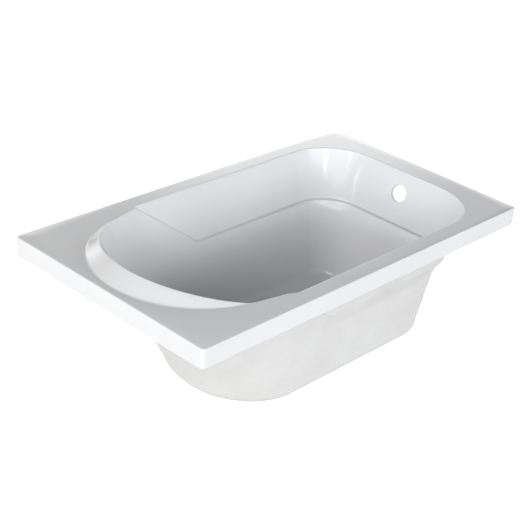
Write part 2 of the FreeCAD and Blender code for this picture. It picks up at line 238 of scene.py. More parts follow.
def rectangle(inset):
    """Half of the rim's outer edge, one point for each column."""
    long, wide = RIM_LENGTH / 2 - inset, RIM_WIDTH / 2 - inset
    radius = max(RIM_CORNER - inset, LEAST_CORNER)
    path = [np.array([[long, 0, 0], [long, wide - radius, 0]])]
    path.append(turned(path[-1][-1], 90, radius, 90, RIM_ARC_STEPS))
    path.append(np.array([[radius - long, wide, 0]]))
    path.append(turned(path[-1][-1], 180, radius, 90, RIM_ARC_STEPS))
    path.append(np.array([[-long, 0, 0]]))
    path = np.vstack(path)
    length = run_length(path)
    foot_end, head_end = RIM_ARC_STEPS + 1, 2 * RIM_ARC_STEPS + 2
    side = [length[foot_end] + long - radius + mark for mark in SIDE_MARKS]
    corners = [middle + way * CORNER_SPREAD for middle in (CORNER_MIDDLE, HEAD_CORNER) for way in (-1, 1)]
    pins = [0, *corners[:2], PINS[2], PINS[3], *corners[2:], PINS[-1]]
    marks = [0, length[1], length[foot_end], *side, length[foot_end + 1], length[head_end], length[-1]]
    s = np.interp(COLUMNS, pins, marks)
    return np.column_stack([np.interp(s, length, path[:, k]) for k in (0, 1)])


def roll_height(plan, growth):
    """Height of the sheet's face over the rim's top, at points in plan."""
    reach = ROLL_RADIUS - np.hypot(plan[:, 0] - ROLL_CENTRE, plan[:, 1])
    cone = reach * math.tan(ROLL_SLOPE) - growth / math.cos(ROLL_SLOPE)
    return np.maximum(cone, -growth)


def roll_reach(start, way, growth):
    """Distance from the mouth, along a way, to the foot of the roll."""
    radius = ROLL_RADIUS - (growth / math.cos(ROLL_SLOPE) - growth) / math.tan(ROLL_SLOPE)
    off = start - [ROLL_CENTRE, 0]
    along, gap = (off * way).sum(1), (off * off).sum(1) - radius * radius
    root = np.sqrt(np.maximum(along * along - gap, 0))
    return np.maximum(np.where(gap < 0, root - along, 0), LEAST_REACH)


def mouth_height(wall):
    """Height at which the wall meets the roll or the rim, column by column."""
    low, high = -wall.growth - 1.0, HIGHEST_CREST
    for _ in range(HALVINGS):
        middle = (low + high) / 2
        above = middle > roll_height(wall.at(-middle)[:, :2], wall.growth)
        high, low = np.where(above, middle, high), np.where(above, low, middle)
    return (low + high) / 2


print("crest stands", round(float(mouth_height(Wall(0)).max()), 1), "mm over the rim")

# %% [markdown]
# ## From the waste hole to the shoulder
# The section is now walked from the waste hole outwards: dish, flat floor, floor round, wall and
# shoulder. Each step gives one row of points for all columns. The same walk at a growth of 5 mm is
# the acrylic's back, and at 8 mm the laminate's, so the layers fit each other.

# %% Dish, floor and lower wall
SHOULDER_BLEND, SHOULDER_TOP = 24.0, 170.0


def circle_row(radius, depth, aim):
    """A ring round the waste, each point facing the floor point of its own column."""
    way = unit(aim[:, :2] - [DRAIN_X, 0])
    way[0], way[-1] = (1, 0), (-1, 0)
    return at_height(way * radius + [DRAIN_X, 0], RIM_HEIGHT - depth)


def dish_rows(growth, bottom, floor):
    """Rows from the waste hole over its dish to the edge of the flat floor."""
    dish = DISH_RADIUS + growth
    rings = ((DRAIN_RADIUS, DISH_DEPTH), (DRAIN_RADIUS + 4, DISH_DEPTH), (dish - 5, DISH_DEPTH),
             (dish - 3, DISH_DEPTH - 0.5), (dish, DISH_DEPTH / 2), (dish + 3, 0.5), (dish + 5, 0))
    rows = [circle_row(radius, bottom + sunk, floor) for radius, sunk in rings]
    return rows + run_between(rows[-1], floor, 8)


def floor_rows(wall, bottom, radius):
    """Rows up the round between floor and wall."""
    low = math.radians(DRAFTS[2])
    rows = []
    for angle in np.linspace(math.pi / 2, low, 11):
        depth = bottom - radius * (1 - math.sin(angle))
        sunk = radius * (math.sin(angle) - math.sin(low))
        extra = radius * (math.cos(low) - math.cos(angle)) - sunk * math.tan(low)
        rows.append(wall.at(depth, -extra))
    return rows


def shoulder_ease(depth):
    """How far the soft bend of the shoulder stands out from its two drafts."""
    bend = math.tan(math.radians(DRAFTS[1])) - math.tan(math.radians(DRAFTS[2]))
    return bend * max(SHOULDER_BLEND - abs(depth - SHOULDER_DEPTH), 0) ** 2 / (4 * SHOULDER_BLEND)


def basin_rows(wall, bottom, radius, outset):
    """Rows from the edge of the flat floor up over the shoulder."""
    start = bottom - radius * (1 - math.sin(math.radians(DRAFTS[2])))
    bend = SHOULDER_DEPTH + SHOULDER_BLEND
    depths = (*np.linspace(start, bend, 9)[1:], *np.linspace(bend, SHOULDER_TOP, 10)[1:])
    return floor_rows(wall, bottom, radius) + [wall.at(d, outset(d) + shoulder_ease(d)) for d in depths]


print("the shoulder's bend stands out by", round(shoulder_ease(SHOULDER_DEPTH), 2), "mm")

# %% [markdown]
# ## Ledge and upper wall
# Above the shoulder the acrylic steps out by 9 mm over the ledge. The sprayed laminate fills the
# step from behind, so from outside it fades away, on the long sides most of all.

# %% Ledge and upper wall
LEDGE_ROUND, LEDGE_LEAN, BELOW_LEDGE, ABOVE_LEDGE = 4.2, 0.7, 12.0, 14.0
SOFT_START, SOFT_END = 167.0, 150.0
SOFT_SHARE = eased((PINS[4] + 16 - COLUMNS) / (NOTCH_STEPS + 22))
SOFT_RUN = 34 + 44 * eased((COLUMNS - PINS[2] + 6) / 20)


def soft_ledge(depth):
    """The ledge as the laminate's back shows it, with resin in its corner."""
    return LEDGE * SOFT_SHARE * eased((SOFT_END + SOFT_RUN - depth) / SOFT_RUN)


def soft_rows(wall, depths):
    """Rows of the laminate's back, with the soft ledge and shoulder."""
    return [wall.at(d, soft_ledge(d) + shoulder_ease(d)) for d in depths]


def ledge_rows(wall, soft):
    """Rows over the ledge and up the wall, and the row where the wall reaches the mouth."""
    step = LEDGE * (SOFT_SHARE if soft else RECESS_SHARE)
    ledge_depth = LEDGE_DEPTH + wall.growth
    top = ledge_depth - ABOVE_LEDGE
    if soft:
        rows = soft_rows(wall, np.linspace(SOFT_START, top, 10))
    else:
        below, above = wall.at(ledge_depth + BELOW_LEDGE), wall.at(top, step)
        inner, outer = wall.at(ledge_depth + LEDGE_LEAN), wall.at(ledge_depth - LEDGE_LEAN, step)
        rows = rounded(below, inner, outer, LEDGE_ROUND, 5)
        rows += rounded(inner, outer, above, LEDGE_ROUND + wall.growth / 4, 5) + [above]
    height = mouth_height(wall)
    rows += [wall.at(top + (-height - top) * part, step) for part in np.linspace(0, 1, 11)[1:-1]]
    return rows, wall.at(-height, step)


print("rows over the ledge and up to the mouth:", len(ledge_rows(Wall(0), False)[0]))

# %% [markdown]
# ## Mouth, roll, rim and lip
# From the mouth's rounded edge the walk goes down the roll's cone, or straight on to the rim where
# there is no roll, then over the flat rim and its rounded arris to the foot of the lip.

# %% Over the rim
MOUTH_ROUND, ROLL_ROUND, LEAST_ARRIS = 9.0, 22.0, 1.0


def rim_rows(wall, last, mouth, lip_depth):
    """Rows from the mouth's edge down the roll and over the rim to the foot of the lip."""
    outside, level = rectangle(wall.growth), RIM_HEIGHT - wall.growth
    way = unit(outside - mouth[:, :2])
    reach = roll_reach(mouth[:, :2], way, wall.growth)

    def on_roll(distance):
        plan = mouth[:, :2] + way * distance[:, None]
        return at_height(plan, RIM_HEIGHT + roll_height(plan, wall.growth))

    base = at_height(mouth[:, :2] + way * reach[:, None], level)
    arris, foot = at_height(outside, level), at_height(outside, RIM_HEIGHT - lip_depth)
    rows = rounded(last, mouth, on_roll(np.minimum(reach, 12) / 2), MOUTH_ROUND - wall.growth, 8)
    rows += [on_roll(reach * part) for part in (0.4, 0.6, 0.8)]
    rows += rounded(rows[-1], base, base + (arris - base) * 0.2, ROLL_ROUND, 3)
    rows += run_between(rows[-1], arris, 6)[:-1]
    rows += rounded(rows[-1], arris, foot, max(RIM_ARRIS - wall.growth, LEAST_ARRIS), 6)
    return rows + run_between(rows[-1], foot, 5) + [foot]


def face_rows(growth, lip_depth, soft=False):
    """All rows of one face, from the waste hole to the foot of the lip."""
    wall, bottom = Wall(growth), BASIN_DEPTH + growth
    basin = basin_rows(wall, bottom, FLOOR_RADIUS + growth, soft_ledge if soft else lambda depth: 0.0)
    ledge, mouth = ledge_rows(wall, soft)
    rows = dish_rows(growth, bottom, basin[0]) + basin + ledge
    return rows + rim_rows(wall, rows[-1], mouth, lip_depth)


front = face_rows(0, LIP_DEPTH)
back = face_rows(SHEET, LIP_DEPTH)
print("rows on a face:", len(front), len(back))

# %% [markdown]
# ## Lofting with Geometry Nodes
# Skinning rows of points is a rule with no exceptions, so Geometry Nodes do it. The tree makes a
# grid as large as the table of rows, looks up each grid point's place in the table, and welds the
# ends, so the sheet closes on itself round the bath and over the lip's foot.

# %% A tree that skins rows of points
SHARP = 40


def new_tree(kind, name, inputs, outputs):
    """A node tree with named inputs, as (type, name, value), and outputs, as (type, name)."""
    tree = bpy.data.node_groups.new(name, kind)
    for socket, label, value in inputs:
        made = tree.interface.new_socket(label, in_out="INPUT", socket_type="NodeSocket" + socket)
        if value is not None:
            made.default_value = value
    for socket, label in outputs:
        tree.interface.new_socket(label, in_out="OUTPUT", socket_type="NodeSocket" + socket)
    return tree, tree.nodes.new("NodeGroupInput").outputs, tree.nodes.new("NodeGroupOutput").inputs


def wire(tree, inputs, links=(), **values):
    """Gives inputs their source sockets or values; _ in a name stands for a space."""
    for key, source in (*links, *values.items()):
        socket = inputs[key.replace("_", " ") if key in values else key]
        if isinstance(source, bpy.types.NodeSocket):
            tree.links.new(source, socket)
        else:
            socket.default_value = source


def add(tree, kind, links=(), output=0, **values):
    """A new node's output. Capitalised values go to its inputs, the others are settings."""
    node = tree.nodes.new(kind)
    for key in [key for key in values if key[0].islower()]:
        setattr(node, key, values.pop(key))
    wire(tree, node.inputs, links, **values)
    return node.outputs[output]


def maths(tree, operation, a, b=0.0):
    return add(tree, "ShaderNodeMath", ((0, a), (1, b)), operation=operation)


def plus(tree, a, b):
    return maths(tree, "ADD", a, b)


def times(tree, a, b):
    return maths(tree, "MULTIPLY", a, b)


def skin_tree():
    """Lays a grid over a table of rows and welds its ends."""
    tree, given, out = new_tree("GeometryNodeTree", "skin_rows", (
        ("Geometry", "Geometry", None), ("Int", "Columns", 8), ("Int", "Rows", 8),
        ("Float", "Weld distance", 1e-5), ("Material", "Material", None)), (("Geometry", "Geometry"),))
    columns, rows = given["Columns"], given["Rows"]
    across, down = plus(tree, columns, 1.0), plus(tree, rows, 1.0)
    grid = add(tree, "GeometryNodeMeshGrid", Vertices_X=down, Vertices_Y=across)
    index = add(tree, "GeometryNodeInputIndex")
    line = maths(tree, "FLOOR", maths(tree, "DIVIDE", plus(tree, index, 0.5), across))
    row = maths(tree, "MODULO", line, rows)
    column = maths(tree, "MODULO", maths(tree, "MODULO", index, across), columns)
    place = plus(tree, times(tree, row, columns), plus(tree, column, 0.25))
    looked = add(tree, "GeometryNodeSampleIndex", data_type="FLOAT_VECTOR", domain="POINT", clamp=True,
                 Geometry=given["Geometry"], Value=add(tree, "GeometryNodeInputPosition"), Index=place)
    moved = add(tree, "GeometryNodeSetPosition", Geometry=grid, Position=looked)
    welded = add(tree, "GeometryNodeMergeByDistance", Geometry=moved, Distance=given["Weld distance"])
    real = add(tree, "GeometryNodeRealizeInstances", Geometry=welded)
    painted = add(tree, "GeometryNodeSetMaterial", Geometry=real, Material=given["Material"])
    wire(tree, out, Geometry=painted)
    return tree


def both_halves(row):
    """The whole ring, from the half with y over zero and its mirror image."""
    mirrored = row[-2:0:-1] * [1, -1, 1]
    return np.vstack([row, mirrored])


def mesh_of(name, rings, faces=()):
    """A mesh from rings of points in millimetres."""
    mesh = bpy.data.meshes.new(name)
    mesh.from_pydata((np.vstack(rings) * MM).tolist(), [], list(faces))
    return mesh


def linked(name, data):
    """A new object in the scene."""
    made = bpy.data.objects.new(name, data)
    bpy.context.scene.collection.objects.link(made)
    return made


def evaluated(piece):
    """An object's mesh with its modifiers applied."""
    graph = bpy.context.evaluated_depsgraph_get()
    return bpy.data.meshes.new_from_object(piece.evaluated_get(graph))


def smoothed(mesh, sharp=SHARP):
    mesh.shade_smooth()
    mesh.set_sharp_from_angle(angle=math.radians(sharp))


def plain_mesh(name, carrier, tree, values):
    """A plain object, from a tree evaluated on a carrier mesh."""
    holder = linked(name + "_rows", carrier)
    modifier = holder.modifiers.new("nodes", "NODES")
    modifier.node_group = tree
    for item in tree.interface.items_tree:
        if item.item_type == "SOCKET" and item.in_out == "INPUT" and item.name in values:
            modifier[item.identifier] = values[item.name]
    mesh = evaluated(holder)
    bpy.data.objects.remove(holder)
    mesh.name = name
    return linked(name, mesh)


def skinned(name, rows, finish):
    """A closed piece from rows that go once round its section."""
    rings = [both_halves(row) for row in rows]
    values = {"Columns": len(rings[0]), "Rows": len(rings), "Material": finish}
    piece = plain_mesh(name, mesh_of(name + "_points", rings), SKIN_TREE, values)
    smoothed(piece.data)
    return piece


SKIN_TREE = skin_tree()
print("skin tree nodes:", len(SKIN_TREE.nodes))

# %% [markdown]
# ## Finishes
# Three effects are shader node groups, so that every finish can share them: a cloudy variation for
# any surface, chopped glass strands for the laminate, and wood grain. The groups only put out masks
# and heights. The shader that uses them stays in each material.

# %% Shader groups
def noise(tree, place, scale, detail=3.0, roughness=0.5):
    return add(tree, "ShaderNodeTexNoise", output="Fac", Vector=place, Scale=scale, Detail=detail,
               Roughness=roughness)


def remap(tree, value, low, high, to_low=0.0, to_high=1.0, **settings):
    return add(tree, "ShaderNodeMapRange", output="Result", Value=value, From_Min=low, From_Max=high,
               To_Min=to_low, To_Max=to_high, **settings)


def vector(tree, operation, a, b):
    """A vector operation; SCALE takes a number, and DISTANCE and DOT_PRODUCT give one."""
    second = "Scale" if operation == "SCALE" else 1
    output = "Value" if operation in ("DISTANCE", "DOT_PRODUCT") else "Vector"
    return add(tree, "ShaderNodeVectorMath", ((0, a), (second, b)), output, operation=operation)


def new_group(name, inputs, outputs):
    """A shader group with its sockets, and the object's own place."""
    group, given, out = new_tree("ShaderNodeTree", name, inputs, [("Float", label) for label in outputs])
    return group, given, out, add(group, "ShaderNodeTexCoord", output="Object")


def clouds_group():
    group, given, out, place = new_group(
        "clouds", (("Float", "Scale", 4.0), ("Float", "Contrast", 1.0)), ("Mask", "Fine"))
    middle = maths(group, "SUBTRACT", noise(group, place, given["Scale"], 2.0), 0.5)
    wire(group, out, Mask=plus(group, times(group, middle, given["Contrast"]), 0.5),
         Fine=noise(group, place, times(group, given["Scale"], 24.0), 4.0, 0.6))
    return group


def strands_group():
    """Chopped strands: several turned sets of stretched cells, laid over each other."""
    group, given, out, place = new_group(
        "strands", (("Float", "Scale", 60.0), ("Float", "Stretch", 9.0)), ("Height", "Lay"))
    warp = add(group, "ShaderNodeTexNoise", output="Color", Vector=place, Scale=9.0, Detail=2.0)
    moved = vector(group, "ADD", place, vector(group, "SCALE", warp, 0.05))
    across = times(group, given["Scale"], given["Stretch"])
    thin = add(group, "ShaderNodeCombineXYZ", ((0, given["Scale"]), (1, across), (2, across)))
    layers = []
    for turn, tilt in ((0.3, 0.2), (1.2, 0.9), (2.1, -0.5), (2.8, 1.5)):
        lay = (tilt, turn, turn * 1.7)
        facing = add(group, "ShaderNodeMapping", Vector=moved, Rotation=lay)
        cells = noise(group, vector(group, "MULTIPLY", facing, thin), 1.0, 1.0)
        layers.append(remap(group, cells, 0.52, 0.72))
    top = layers[0]
    for layer in layers[1:]:
        top = maths(group, "MAXIMUM", top, layer)
    wire(group, out, Height=top, Lay=noise(group, moved, times(group, given["Scale"], 0.5), 5.0, 0.7))
    return group


def grain_group():
    group, given, out, place = new_group(
        "grain", (("Float", "Scale", 40.0), ("Vector", "Stretch", (1, 1, 1))), ("Bands", "Pores"))
    run = vector(group, "MULTIPLY", place, given["Stretch"])
    bands = add(group, "ShaderNodeTexNoise", output="Fac", Vector=run, Scale=given["Scale"],
                Detail=6.0, Distortion=1.2)
    wire(group, out, Bands=bands, Pores=noise(group, run, times(group, given["Scale"], 7.0)))
    return group


CLOUDS, STRANDS, GRAIN = clouds_group(), strands_group(), grain_group()


def use(tree, group, **values):
    """The outputs of a group that is put to use."""
    node = tree.nodes.new("ShaderNodeGroup")
    node.node_tree = group
    wire(tree, node.inputs, **values)
    return node.outputs


def material(name):
    """A new material with its tree and its shader's inputs."""
    made = bpy.data.materials.new(name)
    made.use_nodes = True
    return made, made.node_tree, made.node_tree.nodes["Principled BSDF"].inputs


def blend_colour(tree, mask, low, high):
    """A colour between two, by a mask."""
    return add(tree, "ShaderNodeMix", ((0, mask),), "Result", data_type="RGBA", A=(*low, 1), B=(*high, 1))


def bump(tree, height, strength, distance):
    return add(tree, "ShaderNodeBump", Height=height, Strength=strength, Distance=distance)


print("shader groups:", CLOUDS.name, STRANDS.name, GRAIN.name)

# %% [markdown]
# ## White acrylic
# Cast acrylic is a cool white with a deep, even gloss. What gives away the real sheet is a very
# faint ripple where it was drawn over the mould, and a haze of fine dust and wiping marks that
# only shows in the roughness.

# %% Acrylic
def acrylic_material():
    made, tree, shader = material("white_acrylic")
    clouds = use(tree, CLOUDS, Scale=5.0, Contrast=1.6)
    white = blend_colour(tree, clouds["Mask"], (0.80, 0.81, 0.835), (0.84, 0.845, 0.862))
    wire(tree, shader, Base_Color=white, Roughness=remap(tree, clouds["Fine"], 0.35, 0.7, 0.08, 0.13),
         Normal=bump(tree, clouds["Mask"], 0.05, 0.004), IOR=1.49, Coat_Weight=0.25, Coat_Roughness=0.04)
    return made


ACRYLIC = acrylic_material()
print("acrylic:", ACRYLIC.name)

# %% [markdown]
# ## Sprayed laminate
# The back is polyester resin full of chopped glass strands. It is an off-white that is only just
# warm, rough to the hand, with a satin sheen where resin has flowed out over the strands. The
# strands group gives both the height of the bundles and the paler colour on top of them.

# %% Laminate
def laminate_material(name, low, high):
    made, tree, shader = material(name)
    strands = use(tree, STRANDS, Scale=22.0, Stretch=11.0)
    clouds = use(tree, CLOUDS, Scale=6.0, Contrast=2.2)
    patchy = plus(tree, times(tree, strands["Height"], 0.35), times(tree, clouds["Mask"], 0.65))
    coarse = plus(tree, times(tree, strands["Height"], 0.5), strands["Lay"])
    lumps = plus(tree, coarse, times(tree, clouds["Fine"], 0.9))
    wire(tree, shader, Base_Color=blend_colour(tree, patchy, low, high),
         Roughness=remap(tree, strands["Lay"], 0.3, 0.7, 0.42, 0.68), Normal=bump(tree, lumps, 0.7, 0.0012))
    return made


LAMINATE = laminate_material("sprayed_laminate", (0.735, 0.733, 0.726), (0.83, 0.83, 0.827))
print("laminate:", LAMINATE.name)

# %% [markdown]
# ## Panel and battens
# The panel is chipboard, pressed from flakes, and the battens are plain softwood. Almost all of
# both is under laminate, so they keep their CAD nodes. Only their finish is made here.

# %% Chipboard and softwood
def chipboard_material():
    made, tree, shader = material("pressed_chipboard")
    flakes = tree.nodes.new("ShaderNodeTexVoronoi")
    wire(tree, flakes.inputs, Scale=260.0, Vector=add(tree, "ShaderNodeTexCoord", output="Object"))
    tone = add(tree, "ShaderNodeSeparateColor", ((0, flakes.outputs["Color"]),))
    wire(tree, shader, Base_Color=blend_colour(tree, tone, (0.42, 0.29, 0.16), (0.66, 0.50, 0.31)),
         Roughness=remap(tree, tone, 0.0, 1.0, 0.7, 0.9),
         Normal=bump(tree, flakes.outputs["Distance"], 0.4, 0.0006))
    return made


def softwood_material():
    made, tree, shader = material("softwood")
    grain = use(tree, GRAIN, Scale=26.0, Stretch=(0.08, 1.0, 1.0))
    tan = blend_colour(tree, grain["Bands"], (0.55, 0.38, 0.21), (0.78, 0.62, 0.42))
    wire(tree, shader, Base_Color=tan, Roughness=remap(tree, grain["Pores"], 0.3, 0.7, 0.55, 0.8),
         Normal=bump(tree, grain["Bands"], 0.3, 0.0005))
    return made


CHIPBOARD, SOFTWOOD = chipboard_material(), softwood_material()
for node in ("base_board", *(f"rim_batten_{side}" for side in ("near", "far", "head", "foot"))):
    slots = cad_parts[node].data.materials
    slots.clear()
    slots.append(CHIPBOARD if node == "base_board" else SOFTWOOD)
print("materials:", ", ".join(m.name for m in bpy.data.materials))

# %% [markdown]
# ## The acrylic sheet
# Front and back rows are skinned into one closed sheet that runs round the lip's foot and through
# the waste hole. The overflow is cut afterwards, square to the foot wall, as a fitter's hole saw
# does it. The cutter flares where it meets the face, which leaves the edge eased.

# %% Skin the sheet and cut the overflow
LATHE_SIDES, SAW_FLARE = 72, 2


def ring_faces(rings, around):
    """Quads between neighbouring rings of points."""
    quads = []
    for r in range(rings - 1):
        for k in range(around):
            a, b = r * around + k, r * around + (k + 1) % around
            quads.append((a, b, b + around, a + around))
    return quads


def lathe(name, stations, centre, axis):
    """A closed round body from stations of (distance along the axis, radius)."""
    axis = Vector(axis).normalized()
    side = axis.orthogonal().normalized()
    other = axis.cross(side)
    points = []
    for along, radius in stations:
        for k in range(LATHE_SIDES):
            turn = 2 * math.pi * k / LATHE_SIDES
            spoke = side * math.cos(turn) + other * math.sin(turn)
            points.append(tuple((Vector(centre) + axis * along + spoke * radius) * MM))
    faces = ring_faces(len(stations), LATHE_SIDES)
    faces.append(tuple(range(LATHE_SIDES - 1, -1, -1)))
    faces.append(tuple(range(len(points) - LATHE_SIDES, len(points))))
    mesh = bpy.data.meshes.new(name)
    mesh.from_pydata(points, [], faces)
    return linked(name, mesh)


def cut(piece, tool, sharp=SHARP):
    """Cuts a tool's body out of a piece for good."""
    modifier = piece.modifiers.new("cut", "BOOLEAN")
    modifier.operation, modifier.solver, modifier.object = "DIFFERENCE", "EXACT", tool
    mesh = evaluated(piece)
    piece.modifiers.clear()
    piece.data = mesh
    smoothed(mesh, sharp)


draft = math.radians(DRAFTS[0])
overflow_at = (MOUTH_FOOT - wall_inset(OVERFLOW_DEPTH), 0, RIM_HEIGHT - OVERFLOW_DEPTH)
overflow_way = (math.cos(draft), 0, -math.sin(draft))
flare = [(a, OVERFLOW_RADIUS + SAW_FLARE - math.sqrt(max(SAW_FLARE ** 2 - (SAW_FLARE - a) ** 2, 0)))
         for a in (0, 0.3, 0.8, 1.3, SAW_FLARE)]
stations = [(-8, OVERFLOW_RADIUS + SAW_FLARE), *flare, (24, OVERFLOW_RADIUS)]
saw = lathe("hole_saw", stations, overflow_at, overflow_way)

shell = skinned("acrylic_sheet", front + back[::-1], ACRYLIC)
cut(shell, saw)
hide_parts("acrylic_shell")
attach(shell, "root")
print("acrylic sheet faces:", len(shell.data.polygons))

# %% [markdown]
# ## The sprayed back
# The laminate follows the sheet's back at every point, so it is skinned from the same rule, 5 and
# 8 mm behind the face. It is trimmed a little above the foot of the lip. A second laminate wraps
# the panel under the floor and laps up the wall, thinning to nothing at its upper edge.

# %% Laminate and base cover
TRIM, WASTE_CLEAR, BOARD_IN = 3, 52, 38.0
COVER_UNDER, COVER_RADIUS, COVER_LAP, COVER_TAPER = 3, 46.0, 33, 14
COVER_EDGE, COVER_OVER = 0.15, 1.5

inside, outside = face_rows(SHEET, LIP_DEPTH - TRIM), face_rows(SKIN, LIP_DEPTH - TRIM, True)
laminate = skinned("sprayed_back", inside + outside[::-1], LAMINATE)
cut(laminate, saw)
bpy.data.objects.remove(saw)
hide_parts("wall_laminate")
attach(laminate, "root")


def base_rows():
    """Once round the section of the laminate that seals the panel in."""
    wall, skin, lap = Wall(SKIN + COVER_OVER), Wall(SKIN), BASIN_DEPTH - COVER_LAP
    thicken = COVER_OVER - COVER_EDGE
    rows = [skin.at(lap + d, COVER_EDGE + thicken * d / COVER_TAPER) for d in (0, 3, 7, 11, COVER_TAPER)]
    rows += floor_rows(wall, RIM_HEIGHT, COVER_RADIUS)[::-1]
    hole = circle_row(WASTE_CLEAR, RIM_HEIGHT, rows[-1])
    rows += run_between(rows[-1], hole, 6) + [hole]
    low = Wall(0).at(BASIN_DEPTH, -BOARD_IN)
    high = low.copy()
    low[:, 2], high[:, 2] = COVER_UNDER, RIM_HEIGHT - BASIN_DEPTH - SKIN
    rows += [circle_row(WASTE_CLEAR, RIM_HEIGHT - COVER_UNDER, hole), low, high]
    return rows + floor_rows(skin, BASIN_DEPTH + SKIN, FLOOR_RADIUS + SKIN)[1:]


cover = skinned("base_laminate", base_rows(), LAMINATE)
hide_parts("base_cover")
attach(cover, "root")
print("laminate faces:", len(laminate.data.polygons), "base faces:", len(cover.data.polygons))

# %% [markdown]
# ## Wraps over the battens
# Strips of wet glass mat are laid over each batten and rolled down, so a wrap has soft corners and
# an uneven face. Each is lofted from rings along the batten, and the batten's own box is cut out.

# %% Wraps
BATTEN, WRAP, WRAP_ROUND, WRAP_SHARP = 18, 2.0, 6.0, 50
END_PULL, END_RUN, LUMP = 2.2, 4, 0.5
END_STOPS = np.array([0, 0.6, 2, 4])


def wrap_rings(width, length, lumps):
    """Rings along a wrap: distance along, from the lip, and below the rim's back."""
    tall, wide, soft = BATTEN + WRAP, width + WRAP, WRAP_ROUND
    bend = [(wide - soft + soft * math.sin(a), tall - soft + soft * math.cos(a))
            for a in np.linspace(0, math.pi / 2, 7)]
    side = np.array([(0, 0), (0, tall), *bend, (wide, 0)])
    middle = np.array([wide / 2, tall / 2])
    between_ends = np.linspace(8, length - 8, int(length / 12))
    rings = []
    for along in np.concatenate([END_STOPS, between_ends, length - END_STOPS[::-1]]):
        end = min(along, length - along)
        shrink = END_PULL * (1 - min(end / END_RUN, 1)) ** 2
        lump = lumps.uniform(0, LUMP, len(side)) * (side.min(axis=1) > 0.5)
        pull = (shrink * (side[:, 0] > 0.5) + lump)[:, None] * unit(side - middle)
        shape = np.where(side < 0.5, 0, side - pull)
        rings.append(np.column_stack([np.full(len(side), along - length / 2), shape]))
    return rings


def bar(name, rings):
    """A closed bar through rings of points."""
    around = len(rings[0])
    faces = [tuple(range(around)), tuple(range((len(rings) - 1) * around, len(rings) * around))[::-1]]
    faces += [(a, d, c, b) for a, b, c, d in ring_faces(len(rings), around)]
    mesh = mesh_of(name, rings, faces)
    mesh.materials.append(LAMINATE)
    return linked(name, mesh)


def wrapped(side, turn, reach, width, length, lumps):
    """The wrap of one batten, turned to its side of the rim."""
    c, s = math.cos(math.radians(turn)), math.sin(math.radians(turn))
    lip, top = reach - SKIN, RIM_HEIGHT - SKIN

    def placed(rings):
        flat = [(r[:, 0], lip - r[:, 1], top - r[:, 2]) for r in rings]
        return [np.column_stack([x * c - y * s, x * s + y * c, z]) for x, y, z in flat]

    piece = bar(f"mat_wrap_{side}", placed(wrap_rings(width, length + 2 * WRAP, lumps)))
    box = [np.array([(x, -5, -5), (x, -5, BATTEN), (x, width, BATTEN), (x, width, -5)], float)
           for x in (-length / 2, length / 2)]
    tool = bar("batten_tool", placed(box))
    cut(piece, tool, WRAP_SHARP)
    bpy.data.objects.remove(tool)
    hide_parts(f"batten_wrap_{side}")
    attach(piece, "root")
    return len(piece.data.polygons)


long_batten, short_batten = RIM_LENGTH - 2 * (SKIN + 20), RIM_WIDTH - 2 * (SKIN + 37)
battens = (("far", 0, RIM_WIDTH / 2, 30, long_batten), ("near", 180, RIM_WIDTH / 2, 30, long_batten),
           ("head", 90, RIM_LENGTH / 2, 30, short_batten), ("foot", -90, RIM_LENGTH / 2, 40, short_batten))
chance = np.random.default_rng(5)
print("wrap faces:", [wrapped(*batten, chance) for batten in battens])

# %% [markdown]
# ## Chopped strands
# The spray gun chops glass roving into strands of 14 to 36 mm and throws them at the back with the
# resin. Most sink in, but some stay proud as flat, slightly bent bundles. Geometry Nodes scatter
# one low, rounded bundle over the laminate, turn each at random, bend it with noise and press it
# back on to the surface.

